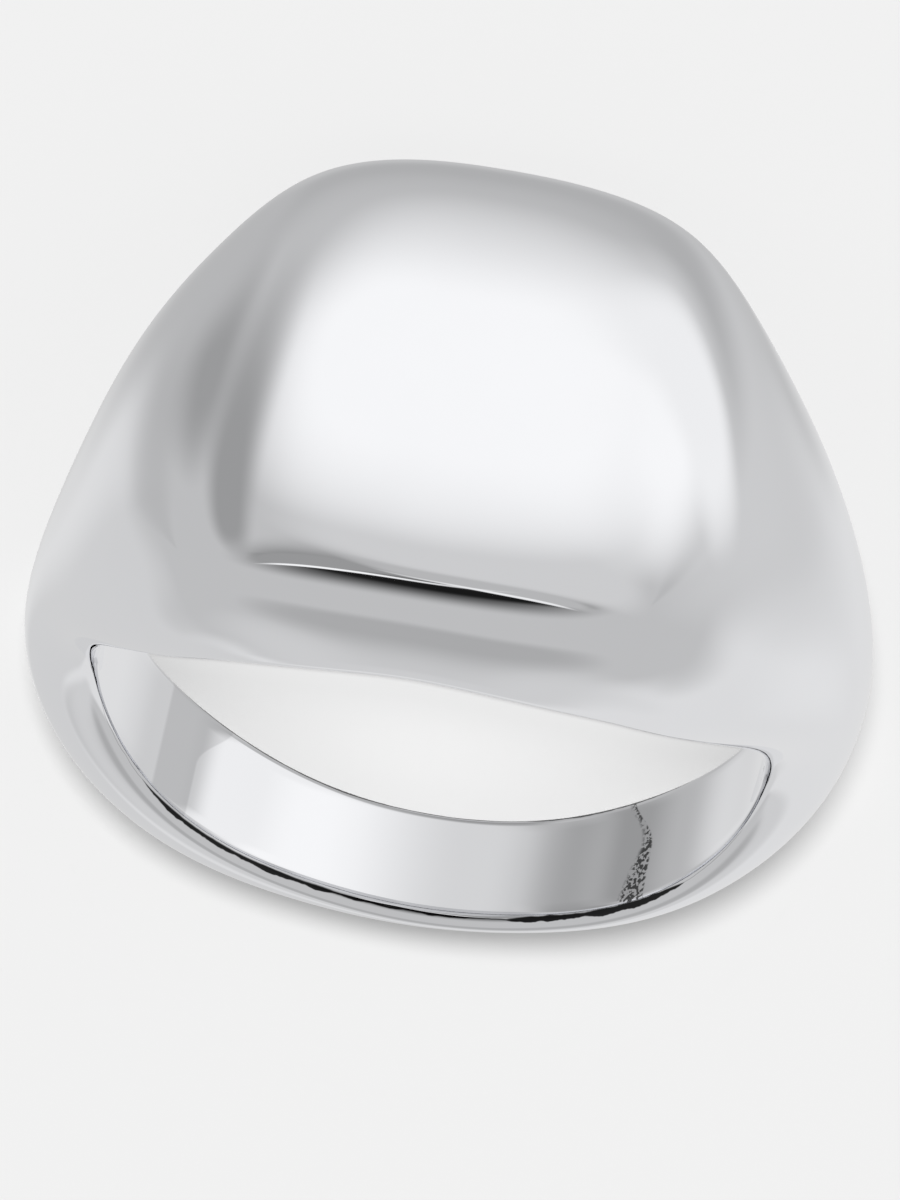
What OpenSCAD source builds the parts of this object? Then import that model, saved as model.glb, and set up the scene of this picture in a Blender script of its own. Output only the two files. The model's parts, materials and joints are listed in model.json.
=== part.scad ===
// Bubble ring: a one-piece finger ring with a crowned, rounded-square head on a narrow half-round band.
// It lies on its side as it would on a table, so its bore leans a little out of upright.
// The origin is at the middle of the bounding box, on the table. Lengths are in millimetres.

/* [Band] */
// Inner diameter of the finger bore
bore_d = 17.3; // [15:0.1:21]
// Width of the band at the back of the finger
band_w = 3.5; // [3.3:0.05:5]
// Thickness of the metal at the back of the band
band_t = 1.15; // [1.1:0.05:2]
// Radius of the polished edge along both rims of the bore
rim_r = 0.37; // [0.2:0.01:0.45]

/* [Head] */
// Width of the head along the finger, where its side walls leave the rims
head_w = 14.7; // [11:0.1:17]
// Thickness of the metal over the bore at the middle of the head, without the crown
head_t = 3.4; // [2.5:0.1:4.5]
// Height of the crown that the middle of the head adds to that
crown_h = 0.65; // [0:0.05:1.5]
// How full the side walls of the head stand: 0.57 is half-round, 1 is upright, more is fuller
wall_stand = 1.2; // [0.57:0.01:1.25]
// How wide the top of the head stays before it rounds over: 0.57 is half-round
top_spread = 1.0; // [0.57:0.01:1.2]

/* [Hidden] */

// Columns of the section table. The heights are shares of the way from band_t to head_t,
// width is a share of the way from band_w to head_w, box goes from the half-round band to the
// boxed head, and rise is the share of the crown.
TURN = 0;
LEFT = 1;
RIGHT = 2;
WIDTH = 3;
BOX = 4;
RISE = 5;
// One row for each control section, from the middle of the head round to the back of the band.
// turn is its angle round the bore. The surface is a smooth spline that these rows pull on.
sections = [
    //turn  left   right  width   box   rise
    [   0,  1.00,   1.00,  1.00,  1.00,  1.00],
    [  12,  1.15,   1.10,  1.00,  0.95,  1.00],
    [  24,  1.30,   1.30,  0.95,  0.85,  0.80],
    [  35,  1.20,   1.25,  0.85,  0.30,  0.35],
    [  45,  1.00,   1.05,  0.75,  0.05,  0.10],
    [  60,  0.55,   0.85,  0.50,  0.00,  0.00],
    [  75,  0.40,   0.70,  0.20,  0.00,  0.00],
    [  90,  0.45,   0.45,  0.00,  0.00,  0.00],
    [ 110,  0.55,   0.30,  0.00,  0.00,  0.00],
    [ 135,  0.55,   0.10,  0.05,  0.00,  0.00],
    [ 160,  0.20,  -0.10,  0.00,  0.00,  0.00],
    [ 180,  0.00,   0.00,  0.00,  0.00,  0.00]
];
last_row = len(sections) - 1;
// Handle length that makes a cubic curve follow a half-round face
half_round = 0.57;

// Fineness: sections between two rows, points across one half of the outer face, points on a rim
steps = 5;
face_steps = 10;
rim_steps = 3;
// The rim's arc starts this far round from the bore wall, so that it meets the wall at a clear angle
rim_start = 25;
// The shell reaches this far inside the bore wall before the bore is cut
inner_stock = 0.35;

bore_r = bore_d / 2;
foot_r = bore_r + rim_r;

// Value of a column at a row. Past both ends of the table the rows run on down the other side.
function across(column) = column == LEFT ? RIGHT : column == RIGHT ? LEFT : column;
function cell(k, column) =
    k < 0 ? sections[-k][across(column)] * (column == TURN ? -1 : 1) :
    k <= last_row ? sections[k][column] :
    column == TURN ? 360 - sections[2 * last_row - k][column] :
    sections[2 * last_row - k][across(column)];

// Smooth value of a column at place q, counted in rows, as a uniform cubic spline
function smooth(column, q) =
    let (i = min(floor(q), last_row - 1), u = q - i)
    (pow(1 - u, 3) * cell(i - 1, column)
        + (3 * pow(u, 3) - 6 * pow(u, 2) + 4) * cell(i, column)
        + (-3 * pow(u, 3) + 3 * pow(u, 2) + 3 * u + 1) * cell(i + 1, column)
        + pow(u, 3) * cell(i + 2, column)) / 6;

function mix(from, to, share) = from + (to - from) * share;

// Sizes of the section at place q, on the left (side -1) or the right (side 1)
function thickness(q, side) = mix(band_t, head_t, smooth(side < 0 ? LEFT : RIGHT, q));
function half_width(q) = mix(band_w, head_w, smooth(WIDTH, q)) / 2;
function stand(q) = mix(half_round, wall_stand, smooth(BOX, q));
function spread(q) = mix(half_round, top_spread, smooth(BOX, q));

function cubic(a, b, c, d, s) =
    pow(1 - s, 3) * a + 3 * s * pow(1 - s, 2) * b + 3 * pow(s, 2) * (1 - s) * c + pow(s, 3) * d;

// Point [radius, height along the bore] of the outer face, from the side wall's foot to its middle
function face_point(q, side, s) =
    let (
        half = half_width(q),
        top_r = bore_r + thickness(q, side),
        wall_r = mix(foot_r, top_r, stand(q)),
        r = cubic(foot_r, wall_r, top_r, top_r, s),
        h = cubic(half, half, half * spread(q), 0, s),
        inward = max(0, 1 - pow(h / half, 2))
    )
    [r + crown_h * smooth(RISE, q) * pow(inward, 2), h];

// Upper half of a section: from inside the bore wall, round the rim, to the middle of the face
function half_section(q, side) =
    let (
        half = half_width(q),
        arc = [
            for (i = [0 : rim_steps - 1])
                let (a = mix(rim_start, 90, i / rim_steps))
                [foot_r - rim_r * cos(a), half - rim_r + rim_r * sin(a)]
        ],
        root_h = arc[0][1] - (arc[0][0] - bore_r + inner_stock) / tan(rim_start)
    )
    concat(
        [[bore_r - inner_stock, root_h]],
        arc,
        [for (i = [0 : face_steps]) face_point(q, side, i / face_steps)]
    );

// Whole closed section, with the lower half as the mirror image of the upper one
function whole_section(q, side) =
    let (upper = half_section(q, side), n = len(upper))
    concat(upper, [for (i = [n - 2 : -1 : 0]) [upper[i][0], -upper[i][1]]]);

// Places of the sections, from the back of the band up the left side and down the right side
places = concat(
    [for (i = [0 : last_row * steps - 1]) [-1, last_row - i / steps]],
    [for (i = [0 : last_row * steps - 1]) [1, i / steps]]
);

// The head points along -Y here, and the bore runs along Z
loops = [
    for (place = places)
        let (side = place[0], q = place[1], turn = smooth(TURN, q))
        [
            for (p = whole_section(q, side))
                [-side * p[0] * sin(turn), -p[0] * cos(turn), p[1]]
        ]
];
loop_count = len(loops);
point_count = len(loops[0]);
points = [for (loop = loops) each loop];
faces = [
    for (i = [0 : loop_count - 1], j = [0 : point_count - 1])
        let (
            here = i * point_count,
            next = ((i + 1) % loop_count) * point_count,
            k = (j + 1) % point_count
        )
        each [[here + j, here + k, next + k], [here + j, next + k, next + j]]
];

// The ring lies on the lower edge of the band and the lower side wall of the head.
// lean is the turn about X at which both touch the table.
function height_at(p, lean) = p[1] * sin(lean) + p[2] * cos(lean);
function lowest(list, lean) = min([for (p = list) height_at(p, lean)]);
head_side = [for (p = points) if (p[1] < 0 && p[2] < 0) p];
band_side = [for (p = points) if (p[1] > 0 && p[2] < 0) p];
function settle(low, high, turns_left) =
    let (middle = (low + high) / 2)
    turns_left == 0 ? middle :
    lowest(head_side, middle) < lowest(band_side, middle) ? settle(low, middle, turns_left - 1) :
    settle(middle, high, turns_left - 1);
lean = settle(-40, 0, 30);

rested = [for (p = points) [p[0], p[1] * cos(lean) - p[2] * sin(lean), height_at(p, lean)]];
function middle_of(axis) = (min([for (p = rested) p[axis]]) + max([for (p = rested) p[axis]])) / 2;
seat = [-middle_of(0), -middle_of(1), -min([for (p = rested) p[2]])];

module ring() {
    color("silver")
    translate(seat)
    rotate([lean, 0, 0])
    difference() {
        polyhedron(points = points, faces = faces, convexity = 6);
        cylinder(h = 2 * head_w, r = bore_r, center = true, $fn = 96);
    }
}

ring();
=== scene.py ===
"""Bubble ring: a polished one-piece silver ring that lies on its side in a pale studio."""

import json
import math
from collections import namedtuple

import bmesh
import bpy
from bpy.props import FloatProperty, FloatVectorProperty, IntProperty, PointerProperty
from mathutils import Matrix, Vector


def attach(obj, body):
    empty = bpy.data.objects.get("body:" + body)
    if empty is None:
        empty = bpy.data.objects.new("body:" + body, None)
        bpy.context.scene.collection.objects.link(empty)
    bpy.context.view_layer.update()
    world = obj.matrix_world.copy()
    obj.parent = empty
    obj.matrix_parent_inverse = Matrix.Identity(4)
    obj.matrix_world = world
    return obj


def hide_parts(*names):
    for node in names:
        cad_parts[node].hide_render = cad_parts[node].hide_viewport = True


bl_info = {
    "name": "Bubble ring",
    "version": (1, 0, 0),
    "blender": (4, 5, 0),
    "location": "View3D > Sidebar > Ring",
    "description": "Models a domed silver finger ring and the pale studio that it is seen in",
    "category": "Add Mesh",
}

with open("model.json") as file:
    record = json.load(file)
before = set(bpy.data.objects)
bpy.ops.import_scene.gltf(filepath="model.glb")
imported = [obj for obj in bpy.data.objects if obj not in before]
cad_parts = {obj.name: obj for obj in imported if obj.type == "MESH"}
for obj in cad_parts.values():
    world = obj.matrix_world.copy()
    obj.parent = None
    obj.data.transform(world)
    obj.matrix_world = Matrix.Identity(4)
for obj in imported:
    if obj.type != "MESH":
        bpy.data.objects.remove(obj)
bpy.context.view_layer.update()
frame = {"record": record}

# The finger bore is the datum: every radius is measured from its axis
BORE = frame["record"]["mounts"][0]
BORE_RADIUS = BORE["dims"]["r_mm"] / 1000
BORE_MIDDLE = Vector(BORE["pos_m"])
BORE_AXIS = Vector(BORE["axis"]).normalized()
MM = 0.001

# Turn is the angle round the bore in degrees, from the middle of the head to the back of the band.
# Left and right are shares of the way from the band's thickness to the head's, and width is the
# same for their widths. Box goes from the half-round band to the boxed head, and rise is the
# crown's share.
Section = namedtuple("Section", "turn left right width box rise")
SECTIONS = (
    #        turn  left   right  width  box   rise
    Section(0,     1.00,  1.00,  1.00,  1.00, 1.00),
    Section(12,    1.15,  1.10,  1.00,  0.95, 1.00),
    Section(24,    1.30,  1.30,  0.95,  0.85, 0.80),
    Section(35,    1.20,  1.25,  0.85,  0.30, 0.35),
    Section(45,    1.00,  1.05,  0.75,  0.05, 0.10),
    Section(60,    0.55,  0.85,  0.50,  0.00, 0.00),
    Section(75,    0.40,  0.70,  0.20,  0.00, 0.00),
    Section(90,    0.45,  0.45,  0.00,  0.00, 0.00),
    Section(110,   0.55,  0.30,  0.00,  0.00, 0.00),
    Section(135,   0.55,  0.10,  0.05,  0.00, 0.00),
    Section(160,   0.20, -0.10,  0.00,  0.00, 0.00),
    Section(180,   0.00,  0.00,  0.00,  0.00, 0.00),
)
LAST_ROW = len(SECTIONS) - 1
OTHER_SIDE = {"left": "right", "right": "left"}

# Handle length that makes a cubic curve follow a half-round face
HALF_ROUND = 0.57

# Points across half a cross-section, on the bore wall, on the rim and on the outer face
BORE_POINTS = 6
EDGE_POINTS = 8
FACE_POINTS = 44
HALF_POINTS = BORE_POINTS + EDGE_POINTS + FACE_POINTS

# One soft panel of light or shade in the studio round the ring. Azimuth turns from -Y towards +X,
# roll dips that side, and all the angles are in degrees. Soft is the share of the panel over which
# its edge fades. A panel covers the ones above it in the table.
Panel = namedtuple("Panel", "name azimuth elevation roll half_width half_height soft brightness")
PANELS = (
    Panel("left_wall",   -158, -25,   6, 56, 38, 0.10, 0.76),
    Panel("left_card",   -125, -22,   0, 15, 12, 0.80, 0.80),
    Panel("left_foot",   -122, -48,   0, 15,  8, 0.80, 0.77),
    Panel("left_gap",     -85, -32,  10, 18, 24, 0.80, 0.64),
    Panel("right_wall",   143, -25,  -6, 35, 28, 0.12, 0.66),
    Panel("right_strip",  132, -47,  18, 26,  7, 0.80, 0.76),
    Panel("table",          0, -65,  15, 80, 16, 0.80, 0.46),
    Panel("rear_glow",    178,  13,   0, 22,  8, 0.60, 0.65),
    Panel("rear_rail",    178,  34,   0, 24, 10, 0.50, 0.43),
    Panel("lens_shade",    10,  48,   0, 36, 20, 0.95, 0.03),
    Panel("lens_slit",      4,  45,   0, 36,  7, 0.50, 0.01),
    Panel("brow",         -20,  12,   8, 48, 18, 0.35, 0.65),
    Panel("strip_left",    32,  36,  -5, 28,  8, 0.25, 0.33),
    Panel("strip_right",  -18,  34,  14, 28,  6, 0.30, 0.50),
    Panel("glint_left",    28,  44,  -6, 26,  1.5, 0.40, 1.00),
    Panel("glint_right",  -18,  40,  14, 18,  1.5, 0.40, 0.90),
    Panel("key",            3, -19,   3, 32, 18, 0.45, 1.00),
    Panel("key_wing",     -38, -22,   3, 25, 16, 0.70, 1.00),
    Panel("key_foot",     -46, -31,   8, 28,  7, 0.40, 0.92),
    Panel("flag",          56,  -6, -65, 26, 12, 0.50, 0.34),
    Panel("flag_foot",     69, -31,   0, 10, 10, 0.70, 0.35),
    Panel("far_corner",    94, -55,  20, 22,  9, 0.60, 0.50),
)
PANEL_ROUNDNESS = 2.5

# The view, as a direction from the middle of the bore in the ring's own axes: azimuth turns from
# the bore's axis towards the viewer's right, and elevation rises towards the head
VIEW_AZIMUTH = math.radians(5.8)
VIEW_ELEVATION = math.radians(52.8)
VIEW_ROLL = math.radians(4.5)
VIEW_DISTANCE = 30 * BORE_RADIUS
# Where the photograph shows the middle of the bore, and how large, in its own pixels
IMAGE_WIDTH = 900
IMAGE_HEIGHT = 1200
BORE_PIXEL = (441, 664)
PIXELS_PER_RADIUS = 336.5
SENSOR_WIDTH = 36
NEAR_CLIP = 0.01

FLOOR_ROUGHNESS = 0.9
# Radius of the fill light's bulb, and the share of its pool over which the pool fades
FILL_BULB = 1.5 * MM
FILL_BLEND = 0.9

# Painted marks lie by their turn round the bore, in degrees from the back of the band towards +X.
# The dark lines along the inner edges of the rims are painted dark reflection, in millimetres
# thick.
PaintedRimLine = namedtuple("PaintedRimLine", "start end thickness")
PAINTED_RIM_LINES = (
    PaintedRimLine(2, 58, 0.07),
    PaintedRimLine(-20, 10, 0.03),
    PaintedRimLine(-53, -15, 0.11),
)
# Radius that the lines run along at its least, how far they drift outwards and how soft they are
RIM_LINE_START = BORE_RADIUS + 0.05 * MM
RIM_LINE_DRIFT = 0.055 * MM
RIM_LINE_FADE = 0.02 * MM
# How bluntly the lines end, how unevenly thick they are, as a slope and a base, and how dark
RIM_LINE_BLUNTNESS = 4.0
RIM_LINE_UNEVENNESS = (2.4, -0.2)
RIM_LINE_DEPTH = 0.97

# Painted shade on the bore's wall, in spans that stand for its darker reflections. A shift moves
# that end of the span where the wall is low, a fade is how softly the span begins or ends, and
# depth is the share of the colour that it takes. All but depth are in degrees.
BoreSpan = namedtuple("BoreSpan", "start start_shift start_fade end end_shift end_fade depth")
PAINTED_BORE_SHADES = (
    BoreSpan(46, -7, 0.6, 55.5, 0, 1, 0.18),
    BoreSpan(-20, 0, 8, 6, 0, 26, 0.30),
    BoreSpan(-43, 6, 0.5, -33, 6, 14, 0.06),
)
# The dark grainy strip, and how many degrees it widens by where the wall is high
DARK_GRAIN_STRIP = BoreSpan(-43, 6, 0.5, -42.2, 6, 1.5, 0.85)
DARK_GRAIN_STRIP_WIDENING = 4.5
# Where the wall counts as low, measured down from its middle, and as high, measured up: the middle
# of each change and its reach
LOW_WALL = (1.0 * MM, 2.0 * MM)
HIGH_WALL = (0.3 * MM, 3.0 * MM)
# The lines give way to the bore's wall, and its painted shade to the rims, at a radius and over a
# reach
LINE_LIMIT = (BORE_RADIUS + 0.02 * MM, 0.01 * MM)
BORE_SHADE_LIMIT = (BORE_RADIUS + 0.03 * MM, 0.02 * MM)

# Noise that makes the metal uneven, with its scale in repeats per metre
Noise = namedtuple("Noise", "scale detail roughness")
HAZE = Noise(260, 4, 0.5)
RIPPLE = Noise(330, 1.5, 0.4)
RIM_LINE_NOISE = Noise(1400, 3, 0.5)
GRAIN = Noise(9000, 2, 0.5)
# Level of the grain above which the strip is dark, and the reach of the change
GRAIN_LIMIT = (0.5, 0.08)
# Levels of the haze between which the metal goes from its clearest gloss to its haziest, and from
# all of its light to the share that the haziest metal keeps
GLOSS_LEVELS = (0.35, 0.7)
DULLING_LEVELS = (0.3, 0.75)
HAZE_DULLING = 0.985


class RingSizes(bpy.types.PropertyGroup):
    """Sizes of the ring"""

    band_width: FloatProperty(
        name="Band width", description="Width of the band at the back of the finger",
        default=3.5 * MM, unit="LENGTH", precision=5)
    band_thickness: FloatProperty(
        name="Band thickness", description="Thickness of the metal at the back of the band",
        default=1.15 * MM, unit="LENGTH", precision=5)
    rim_radius: FloatProperty(
        name="Rim radius", description="Radius of the polished edge along both rims of the bore",
        default=0.37 * MM, unit="LENGTH", precision=5)
    head_width: FloatProperty(
        name="Head width",
        description="Width of the head along the finger, at its side walls' feet",
        default=14.7 * MM, unit="LENGTH", precision=5)
    head_thickness: FloatProperty(
        name="Head thickness", description="Thickness over the bore at the middle of the head",
        default=3.4 * MM, unit="LENGTH", precision=5)
    crown: FloatProperty(
        name="Crown", description="Height that the crown adds to the middle of the head",
        default=0.65 * MM, unit="LENGTH", precision=5)
    wall_stand: FloatProperty(
        name="Wall stand",
        description="How full the head's side walls stand, from half-round 0.57",
        default=1.2, subtype="FACTOR")
    top_spread: FloatProperty(
        name="Top spread", description="How wide the head's top stays before it rounds over",
        default=1.0, subtype="FACTOR")
    steps: IntProperty(
        name="Steps", description="Cross-sections modelled between two rows of the table",
        default=16)


class SilverFinish(bpy.types.PropertyGroup):
    """Finish of the metal"""

    colour: FloatVectorProperty(
        name="Colour", description="Reflected colour of the polished silver", subtype="COLOR",
        size=3, default=(0.925, 0.93, 0.95))
    gloss: FloatProperty(
        name="Clearest gloss", description="Roughness of the most polished metal", default=0.02,
        subtype="FACTOR")
    haze: FloatProperty(
        name="Haze", description="Roughness of the metal where polishing has left a faint haze",
        default=0.045, subtype="FACTOR")
    ripple: FloatProperty(
        name="Ripple", description="Height of the low ripple that hand polishing leaves",
        default=0.0016 * MM, unit="LENGTH", precision=6)


class StudioLook(bpy.types.PropertyGroup):
    """Floor and light of the studio"""

    wall: FloatProperty(
        name="Wall", description="Brightness of the studio between its panels", default=0.55)
    backdrop: FloatProperty(
        name="Backdrop", description="Brightness of the backdrop that the camera sees",
        default=0.87)
    floor_colour: FloatVectorProperty(
        name="Floor", description="Colour of the floor", subtype="COLOR", size=3,
        default=(0.22, 0.22, 0.22))
    floor_glow: FloatProperty(
        name="Floor glow", description="Light that the floor gives, as a lit table does",
        default=0.31)
    floor_size: FloatProperty(
        name="Floor size", description="Half the width of the floor", default=1.5, unit="LENGTH")
    key_azimuth: FloatProperty(
        name="Key azimuth", description="Where the key light stands, from -Y towards +X",
        default=math.radians(-3), subtype="ANGLE")
    key_elevation: FloatProperty(
        name="Key elevation", description="How high the key light stands",
        default=math.radians(48), subtype="ANGLE")
    key_strength: FloatProperty(
        name="Key light", description="Strength of the light that casts the soft shadow",
        default=9.0)
    key_spread: FloatProperty(
        name="Key spread", description="Angle that the key light fills, which softens its shadow",
        default=math.radians(10), subtype="ANGLE")
    fill_reach: FloatProperty(
        name="Fill reach", description="Half the length of the fill light's long pool in the bore",
        default=12 * MM, unit="LENGTH", precision=5)
    fill_height: FloatProperty(
        name="Fill height", description="Half the height of the pool, as the viewer sees it",
        default=2.9 * MM, unit="LENGTH", precision=5)
    fill_drop: FloatProperty(
        name="Fill drop",
        description="How far below the bore's middle the viewer sees the pool's middle",
        default=0.6 * MM, unit="LENGTH", precision=5)
    fill_tilt: FloatProperty(
        name="Fill tilt", description="How far the pool dips towards the viewer's right",
        default=math.radians(10), subtype="ANGLE")
    fill_strength: FloatProperty(
        name="Fill light", description="Power of the light that falls through the bore",
        default=6.8)


def cell(row, column):
    """A column's value at a row; past the table's ends the rows run on down the other side."""
    across = OTHER_SIDE.get(column, column)
    if row < 0:
        value = getattr(SECTIONS[-row], across)
        return -value if column == "turn" else value
    if row > LAST_ROW:
        value = getattr(SECTIONS[2 * LAST_ROW - row], across)
        return 360 - value if column == "turn" else value
    return getattr(SECTIONS[row], column)


def smooth(column, place):
    """Smooth value of a column at a place, counted in rows, as a uniform cubic spline."""
    row = min(int(place), LAST_ROW - 1)
    u = place - row
    weights = ((1 - u) ** 3, 3 * u**3 - 6 * u**2 + 4, -3 * u**3 + 3 * u**2 + 3 * u + 1, u**3)
    return sum(w * cell(row + k - 1, column) for k, w in enumerate(weights)) / 6


def mix(low, high, share):
    """The value that lies a share of the way from low to high."""
    return low + (high - low) * share


def cubic(a, b, c, d, s):
    """Place on a cubic curve from a to d, with handles b and c, at share s."""
    return (1 - s) ** 3 * a + 3 * s * (1 - s) ** 2 * b + 3 * s**2 * (1 - s) * c + s**3 * d


class Profile:
    """The upper half of the ring's cross-section at one place round it."""

    def __init__(self, sizes, place, side):
        box = smooth("box", place)
        thickness = mix(sizes.band_thickness, sizes.head_thickness, smooth(side, place))
        self.half = mix(sizes.band_width, sizes.head_width, smooth("width", place)) / 2
        self.rim = sizes.rim_radius
        self.foot = BORE_RADIUS + self.rim
        self.top = BORE_RADIUS + thickness
        self.wall = mix(self.foot, self.top, mix(HALF_ROUND, sizes.wall_stand, box))
        self.spread = mix(HALF_ROUND, sizes.top_spread, box)
        self.crown = sizes.crown * smooth("rise", place)

    def bore(self, s):
        """Radius and height on the bore wall, from its middle to the rim."""
        return BORE_RADIUS, s * (self.half - self.rim)

    def edge(self, s):
        """Radius and height on the rim's rounded edge."""
        a = s * math.pi / 2
        return self.foot - self.rim * math.cos(a), self.half - self.rim + self.rim * math.sin(a)

    def face(self, s):
        """Radius and height on the outer face, from the side wall's foot to its middle."""
        height = cubic(self.half, self.half, self.half * self.spread, 0, s)
        inward = max(0, 1 - (height / self.half) ** 2)
        return cubic(self.foot, self.wall, self.top, self.top, s) + self.crown * inward**2, height


def profile_point(profile, index):
    """Radius and height of a point of the whole closed cross-section."""
    upper = min(index, 2 * HALF_POINTS - index)
    if upper <= BORE_POINTS:
        radius, height = profile.bore(upper / BORE_POINTS)
    elif upper <= BORE_POINTS + EDGE_POINTS:
        radius, height = profile.edge((upper - BORE_POINTS) / EDGE_POINTS)
    else:
        radius, height = profile.face((upper - BORE_POINTS - EDGE_POINTS) / FACE_POINTS)
    return radius, height if upper == index else -height


def ring_axes():
    """Matrix to the frame from the ring's own axes: the bore along Z, the head towards -Y."""
    lean = Vector((0, 0, 1)).rotation_difference(BORE_AXIS)
    return Matrix.Translation(BORE_MIDDLE) @ lean.to_matrix().to_4x4()


def spun_hoop(around, across):
    """A plain round hoop, spun from one circle, with the loops that the ring is shaped from."""
    hoop = bmesh.new()
    tube = BORE_RADIUS / 3
    stand = Matrix.Translation((BORE_RADIUS, 0, 0)) @ Matrix.Rotation(math.pi / 2, 4, "X")
    bmesh.ops.create_circle(hoop, cap_ends=False, segments=across, radius=tube, matrix=stand)
    bmesh.ops.spin(
        hoop, geom=hoop.verts[:] + hoop.edges[:], cent=(0, 0, 0), axis=(0, 0, 1),
        angle=math.tau, steps=around, use_merge=True)
    return hoop


def shape_ring(hoop, sizes, around, across):
    """Moves each loop of the hoop onto the ring's cross-section at its place."""
    half = around // 2
    profiles = [
        Profile(sizes, abs(half - i) / sizes.steps, "left" if i < half else "right")
        for i in range(around)
    ]
    turns = [math.radians(smooth("turn", abs(half - i) / sizes.steps)) for i in range(around)]
    for vertex in hoop.verts:
        x, y, z = vertex.co
        loop = round(math.atan2(x, y) / math.tau * around) % around
        point = round(math.atan2(z, BORE_RADIUS - math.hypot(x, y)) / math.tau * across) % across
        radius, height = profile_point(profiles[loop], point)
        side = 1 if loop < half else -1
        angle = turns[loop]
        vertex.co = (side * radius * math.sin(angle), -radius * math.cos(angle), height)


def add_node(tree, kind, inputs=None, **settings):
    """Adds a node, sets its options, and sets or links its inputs by name or number."""
    node = tree.nodes.new(kind)
    for name, value in settings.items():
        setattr(node, name, value)
    for key, value in (inputs or {}).items():
        if isinstance(value, bpy.types.NodeSocket):
            tree.links.new(value, node.inputs[key])
        else:
            node.inputs[key].default_value = value
    return node


def maths(tree, operation, *values):
    """Adds a Math node on the values, and gives its result."""
    node = add_node(tree, "ShaderNodeMath", dict(enumerate(values)), operation=operation)
    return node.outputs["Value"]


def over(tree, value, edge, fade):
    """0 where a value is under an edge and 1 where it is over it, with a soft change between."""
    step = add_node(tree, "ShaderNodeMapRange", {
        "Value": value, "From Min": maths(tree, "SUBTRACT", edge, fade / 2),
        "From Max": maths(tree, "ADD", edge, fade / 2)}, interpolation_type="SMOOTHSTEP")
    return step.outputs["Result"]


def between(tree, value, low, high, low_fade, high_fade):
    """1 where a value lies between two edges and 0 where it doesn't, with soft changes."""
    above = maths(tree, "SUBTRACT", 1.0, over(tree, value, high, high_fade))
    return maths(tree, "MULTIPLY", over(tree, value, low, low_fade), above)


def darken(tree, shade, mask, depth):
    """The shade, less a share of it where the mask is 1."""
    return maths(tree, "MULTIPLY", shade, maths(tree, "MULTIPLY_ADD", mask, -depth, 1.0))


def noise(tree, place, pattern):
    """Adds a Noise Texture node with a pattern's settings, and gives its value."""
    return add_node(tree, "ShaderNodeTexNoise", {
        "Vector": place, "Scale": pattern.scale, "Detail": pattern.detail,
        "Roughness": pattern.roughness}).outputs["Fac"]


def graded(tree, value, levels, low, high):
    """Goes evenly from low to high while a value goes from one of two levels to the other."""
    return add_node(tree, "ShaderNodeMapRange", {
        "Value": value, "From Min": levels[0], "From Max": levels[1],
        "To Min": low, "To Max": high}).outputs["Result"]


def ring_place(tree, place):
    """Radius from the bore's axis, turn round it from the band's back, and height along it."""
    axes = ring_axes()
    own = add_node(tree, "ShaderNodeMapping", {
        "Vector": place, "Location": axes.translation, "Rotation": axes.to_euler()},
        vector_type="TEXTURE")
    parts = add_node(tree, "ShaderNodeSeparateXYZ", {"Vector": own.outputs["Vector"]})
    x, y, height = parts.outputs
    squares = maths(tree, "MULTIPLY_ADD", x, x, maths(tree, "MULTIPLY", y, y))
    return maths(tree, "SQRT", squares), maths(tree, "ARCTAN2", x, y), height


def painted_rim_reflection(tree, place, radius, turn):
    """1 on the thin, unevenly thick lines of painted dark reflection along the rims' inner edges.
    """
    reach = 0.0
    for line in PAINTED_RIM_LINES:
        middle = math.radians(line.start + line.end) / 2
        half = math.radians(line.end - line.start) / 2
        share = maths(tree, "DIVIDE", maths(tree, "SUBTRACT", turn, middle), half)
        bow = maths(tree, "SUBTRACT", 1.0, maths(
            tree, "POWER", maths(tree, "ABSOLUTE", share), RIM_LINE_BLUNTNESS))
        line_reach = maths(tree, "MULTIPLY", bow, line.thickness * MM / 2)
        reach = maths(tree, "MAXIMUM", reach, line_reach)
    uneven = noise(tree, place, RIM_LINE_NOISE)
    drift = maths(tree, "MULTIPLY_ADD", uneven, RIM_LINE_DRIFT, RIM_LINE_START)
    offset = maths(tree, "ABSOLUTE", maths(tree, "SUBTRACT", radius, drift))
    uneven_reach = maths(
        tree, "MULTIPLY", reach, maths(tree, "MULTIPLY_ADD", uneven, *RIM_LINE_UNEVENNESS))
    inside = over(tree, maths(tree, "SUBTRACT", uneven_reach, offset), 0.0, RIM_LINE_FADE)
    return maths(tree, "MULTIPLY", inside, over(tree, radius, *LINE_LIMIT))


def span_mask(tree, turn, low, span, widening=0.0):
    """1 where a span lies on the bore's wall and 0 elsewhere; low is 1 where the wall is low."""
    start = maths(
        tree, "MULTIPLY_ADD", low, math.radians(span.start_shift), math.radians(span.start))
    end = maths(tree, "MULTIPLY_ADD", low, math.radians(span.end_shift), math.radians(span.end))
    end = maths(tree, "ADD", end, widening)
    return between(
        tree, turn, start, end, math.radians(span.start_fade), math.radians(span.end_fade))


def bore_shade(tree, place, turn, height):
    """Share of its colour that the bore's wall keeps under the painted shade and the dark grainy
    strip.
    """
    low = over(tree, maths(tree, "MULTIPLY", height, -1.0), *LOW_WALL)
    high = over(tree, height, *HIGH_WALL)
    shade = 1.0
    # Painted shade: darker reflections painted onto the bore's wall, span by span
    for span in PAINTED_BORE_SHADES:
        shade = darken(tree, shade, span_mask(tree, turn, low, span), span.depth)
    grains = over(tree, noise(tree, place, GRAIN), *GRAIN_LIMIT)
    widening = maths(tree, "MULTIPLY", high, math.radians(DARK_GRAIN_STRIP_WIDENING))
    strip = span_mask(tree, turn, low, DARK_GRAIN_STRIP, widening)
    return darken(tree, shade, maths(tree, "MULTIPLY", strip, grains), DARK_GRAIN_STRIP.depth)


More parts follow.
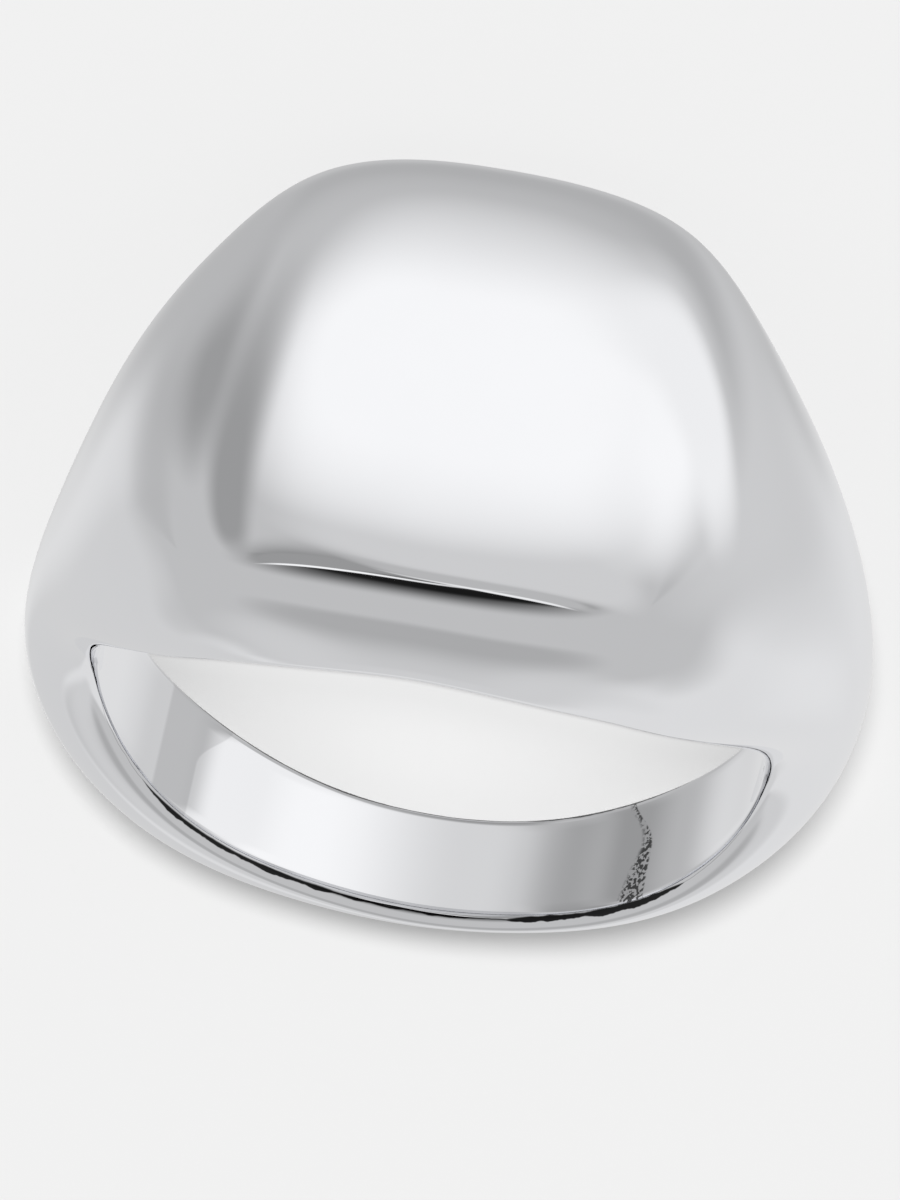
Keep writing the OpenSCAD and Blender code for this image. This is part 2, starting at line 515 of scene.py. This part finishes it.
def silver_material(finish):
    """Polished silver: clear gloss, faint haze, painted dark reflection and shade, and a low
    ripple from polishing.
    """
    material = bpy.data.materials.new("polished_silver")
    material.use_nodes = True
    tree = material.node_tree
    metal = tree.nodes["Principled BSDF"]
    metal.inputs["Metallic"].default_value = 1
    place = add_node(tree, "ShaderNodeTexCoord").outputs["Object"]
    radius, turn, height = ring_place(tree, place)
    haze = noise(tree, place, HAZE)
    roughness = graded(tree, haze, GLOSS_LEVELS, finish.gloss, finish.haze)
    tint = graded(tree, haze, DULLING_LEVELS, 1, HAZE_DULLING)
    on_face = over(tree, radius, *BORE_SHADE_LIMIT)
    bore = maths(tree, "MAXIMUM", on_face, bore_shade(tree, place, turn, height))
    shade = maths(tree, "MULTIPLY", tint, bore)
    # Painted dark reflection along the inner edges of the rims
    shade = darken(tree, shade, painted_rim_reflection(tree, place, radius, turn), RIM_LINE_DEPTH)
    colour = add_node(tree, "ShaderNodeVectorMath", {
        "Vector": finish.colour, "Scale": shade}, operation="SCALE")
    relief = add_node(tree, "ShaderNodeBump", {
        "Height": noise(tree, place, RIPPLE), "Strength": 1, "Distance": finish.ripple})
    tree.links.new(colour.outputs["Vector"], metal.inputs["Base Color"])
    tree.links.new(roughness, metal.inputs["Roughness"])
    tree.links.new(relief.outputs["Normal"], metal.inputs["Normal"])
    return material


def floor_material(studio):
    """A pale matt table that is lit from below."""
    material = bpy.data.materials.new("pale_table")
    material.use_nodes = True
    surface = material.node_tree.nodes["Principled BSDF"]
    surface.inputs["Base Color"].default_value = (*studio.floor_colour, 1)
    surface.inputs["Roughness"].default_value = FLOOR_ROUGHNESS
    surface.inputs["Emission Color"].default_value = (1, 1, 1, 1)
    surface.inputs["Emission Strength"].default_value = studio.floor_glow
    return material


def panel_group():
    """Node group that gives 1 inside a soft round-cornered panel and 0 outside it."""
    tree = bpy.data.node_groups.new("soft_panel", "ShaderNodeTree")
    sockets = (
        ("Direction", "NodeSocketVector"), ("Turn", "NodeSocketVector"),
        ("Half width", "NodeSocketFloat"), ("Half height", "NodeSocketFloat"),
        ("Soft", "NodeSocketFloat"))
    for name, kind in sockets:
        tree.interface.new_socket(name, in_out="INPUT", socket_type=kind)
    tree.interface.new_socket("Inside", in_out="OUTPUT", socket_type="NodeSocketFloat")
    entry = add_node(tree, "NodeGroupInput").outputs
    turned = add_node(tree, "ShaderNodeMapping", {
        "Vector": entry["Direction"], "Rotation": entry["Turn"]}, vector_type="POINT")
    along = add_node(tree, "ShaderNodeSeparateXYZ", {"Vector": turned.outputs["Vector"]}).outputs
    shares = []
    for axis, size in (("X", "Half width"), ("Y", "Half height")):
        angle = maths(tree, "ABSOLUTE", maths(tree, "ARCTAN2", along[axis], along["Z"]))
        share = maths(tree, "DIVIDE", angle, entry[size])
        shares.append(maths(tree, "POWER", share, PANEL_ROUNDNESS))
    reach = maths(tree, "POWER", maths(tree, "ADD", *shares), 1 / PANEL_ROUNDNESS)
    fade = add_node(tree, "ShaderNodeMapRange", {
        "Value": reach, "From Min": maths(tree, "SUBTRACT", 1.0, entry["Soft"]),
        "From Max": maths(tree, "ADD", 1.0, entry["Soft"]), "To Min": 1, "To Max": 0},
        interpolation_type="SMOOTHSTEP")
    add_node(tree, "NodeGroupOutput", {"Inside": fade.outputs["Result"]})
    return tree


def panel_turn(panel):
    """Rotation that takes a panel's middle to +Z, its width to X and its height to Y."""
    azimuth = math.radians(panel.azimuth)
    elevation = math.radians(panel.elevation)
    roll = math.radians(panel.roll)
    forward = Vector((
        math.sin(azimuth) * math.cos(elevation), -math.cos(azimuth) * math.cos(elevation),
        math.sin(elevation)))
    right = Vector((math.cos(azimuth), math.sin(azimuth), 0))
    up = forward.cross(right)
    width = math.cos(roll) * right - math.sin(roll) * up
    height = math.cos(roll) * up + math.sin(roll) * right
    return Matrix((width, height, forward)).to_euler("XYZ")


def studio_world(studio):
    """The studio that the metal mirrors, with a plain pale backdrop for what the camera sees."""
    world = bpy.data.worlds.new("studio")
    world.use_nodes = True
    tree = world.node_tree
    direction = add_node(tree, "ShaderNodeTexCoord").outputs["Generated"]
    group = panel_group()
    brightness = studio.wall
    for panel in PANELS:
        inside = add_node(tree, "ShaderNodeGroup", {
            "Direction": direction, "Turn": panel_turn(panel), "Soft": panel.soft,
            "Half width": math.radians(panel.half_width),
            "Half height": math.radians(panel.half_height)}, node_tree=group, label=panel.name)
        brightness = add_node(tree, "ShaderNodeMix", {
            "Factor": inside.outputs["Inside"], "A": brightness,
            "B": panel.brightness}).outputs["Result"]
    seen = add_node(tree, "ShaderNodeLightPath").outputs["Is Camera Ray"]
    strength = add_node(tree, "ShaderNodeMix", {
        "Factor": seen, "A": brightness, "B": studio.backdrop})
    background = tree.nodes["Background"]
    background.inputs["Color"].default_value = (1, 1, 1, 1)
    tree.links.new(strength.outputs["Result"], background.inputs["Strength"])
    return world


def link_piece(name, shape, material):
    """Makes an object of a finished mesh, with its place in its mesh."""
    mesh = bpy.data.meshes.new(name)
    shape.to_mesh(mesh)
    shape.free()
    mesh.materials.append(material)
    piece = bpy.data.objects.new(name, mesh)
    bpy.context.scene.collection.objects.link(piece)
    return piece


def add_lamp(scene, name, kind, place, **settings):
    """Adds a lamp that lights the floor only, because the metal mirrors the panels instead."""
    data = bpy.data.lights.new(name, kind)
    for setting, value in settings.items():
        setattr(data, setting, value)
    lamp = bpy.data.objects.new(name, data)
    lamp.matrix_world = place
    lamp.visible_glossy = False
    scene.collection.objects.link(lamp)


def view_directions():
    """Directions from the bore to the viewer, and up the picture, in the ring's own axes."""
    flat = math.cos(VIEW_ELEVATION)
    outward = Vector((
        -math.sin(VIEW_AZIMUTH) * flat, -math.sin(VIEW_ELEVATION), math.cos(VIEW_AZIMUTH) * flat))
    level = Vector((0, -1, 0)).cross(outward).normalized()
    upright = outward.cross(level)
    return outward, math.cos(VIEW_ROLL) * upright - math.sin(VIEW_ROLL) * level


def add_lamps(scene, studio):
    """Adds the key light, and the narrow fill light that brightens the floor in the bore."""
    flat = math.cos(studio.key_elevation)
    towards_key = Vector((
        math.sin(studio.key_azimuth) * flat, -math.cos(studio.key_azimuth) * flat,
        math.sin(studio.key_elevation)))
    key_place = Matrix.Translation(towards_key) @ (
        towards_key.to_track_quat("Z", "Y").to_matrix().to_4x4())
    add_lamp(
        scene, "key_light", "SUN", key_place, energy=studio.key_strength, angle=studio.key_spread)
    outward, up = view_directions()
    place = VIEW_DISTANCE * outward
    back = (place + studio.fill_drop * up).normalized()
    right = up.cross(back).normalized()
    along = math.cos(studio.fill_tilt) * right - math.sin(studio.fill_tilt) * back.cross(right)
    turn = Matrix((along, back.cross(along), back)).transposed().to_4x4()
    squeeze = Matrix.Diagonal((1, studio.fill_height / studio.fill_reach, 1, 1))
    add_lamp(
        scene, "fill_light", "SPOT", ring_axes() @ Matrix.Translation(place) @ turn @ squeeze,
        energy=studio.fill_strength, shadow_soft_size=FILL_BULB, spot_blend=FILL_BLEND,
        spot_size=2 * math.atan(studio.fill_reach / VIEW_DISTANCE))


def add_camera(scene):
    """Puts the camera at the photograph's angle to the ring, framed as the photograph is."""
    outward, up = view_directions()
    right = up.cross(outward)
    shift_right = (IMAGE_WIDTH / 2 - BORE_PIXEL[0]) / PIXELS_PER_RADIUS * BORE_RADIUS
    shift_up = (BORE_PIXEL[1] - IMAGE_HEIGHT / 2) / PIXELS_PER_RADIUS * BORE_RADIUS
    aim = shift_right * right + shift_up * up
    place = VIEW_DISTANCE * outward
    back = (place - aim).normalized()
    up = (up - up.dot(back) * back).normalized()
    turn = Matrix((up.cross(back), up, back)).transposed().to_4x4()
    data = bpy.data.cameras.new("camera")
    data.sensor_fit = "HORIZONTAL"
    data.sensor_width = SENSOR_WIDTH
    data.lens = SENSOR_WIDTH / IMAGE_WIDTH * PIXELS_PER_RADIUS * VIEW_DISTANCE / BORE_RADIUS
    data.clip_start = NEAR_CLIP
    camera = bpy.data.objects.new("camera", data)
    camera.matrix_world = ring_axes() @ Matrix.Translation(place) @ turn
    scene.collection.objects.link(camera)
    scene.camera = camera


class RING_OT_make_ring(bpy.types.Operator):
    """Models the one-piece ring: head, shoulders, band and the polished edges of its bore"""

    bl_idname = "bubble_ring.make_ring"
    bl_label = "Make the ring"

    def execute(self, context):
        sizes = context.scene.ring_sizes
        around = 2 * LAST_ROW * sizes.steps
        across = 2 * HALF_POINTS
        ring = spun_hoop(around, across)
        shape_ring(ring, sizes, around, across)
        bmesh.ops.transform(ring, matrix=ring_axes(), verts=ring.verts[:])
        bmesh.ops.recalc_face_normals(ring, faces=ring.faces[:])
        for face in ring.faces:
            face.smooth = True
        piece = link_piece("polished_ring", ring, silver_material(context.scene.silver_finish))
        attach(piece, "root")
        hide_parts("ring")
        return {"FINISHED"}


class RING_OT_make_studio(bpy.types.Operator):
    """Makes the pale floor, the studio's light and the camera at the photograph's angle"""

    bl_idname = "bubble_ring.make_studio"
    bl_label = "Make the studio"

    def execute(self, context):
        studio = context.scene.studio_look
        shape = bmesh.new()
        bmesh.ops.create_grid(shape, x_segments=1, y_segments=1, size=studio.floor_size)
        floor = link_piece("floor", shape, floor_material(studio))
        floor.visible_glossy = False
        context.scene.world = studio_world(studio)
        add_lamps(context.scene, studio)
        add_camera(context.scene)
        context.scene.view_settings.view_transform = "Standard"
        return {"FINISHED"}


class RING_PT_sidebar(bpy.types.Panel):
    """Lists the ring's sizes, its finish and the studio, with the buttons that make them"""

    bl_idname = "RING_PT_sidebar"
    bl_label = "Bubble ring"
    bl_space_type = "VIEW_3D"
    bl_region_type = "UI"
    bl_category = "Ring"

    def draw(self, context):
        for group in ("ring_sizes", "silver_finish", "studio_look"):
            settings = getattr(context.scene, group)
            column = self.layout.column(align=True)
            for name in settings.__annotations__:
                column.prop(settings, name)
        self.layout.operator(RING_OT_make_ring.bl_idname)
        self.layout.operator(RING_OT_make_studio.bl_idname)


CLASSES = (
    RingSizes, SilverFinish, StudioLook, RING_OT_make_ring, RING_OT_make_studio, RING_PT_sidebar)


def register():
    for item in CLASSES:
        bpy.utils.register_class(item)
    bpy.types.Scene.ring_sizes = PointerProperty(type=RingSizes)
    bpy.types.Scene.silver_finish = PointerProperty(type=SilverFinish)
    bpy.types.Scene.studio_look = PointerProperty(type=StudioLook)


def unregister():
    del bpy.types.Scene.studio_look
    del bpy.types.Scene.silver_finish
    del bpy.types.Scene.ring_sizes
    for item in reversed(CLASSES):
        bpy.utils.unregister_class(item)


def main():
    register()
    bpy.ops.bubble_ring.make_ring()
    bpy.ops.bubble_ring.make_studio()


if __name__ == "__main__":
    main()
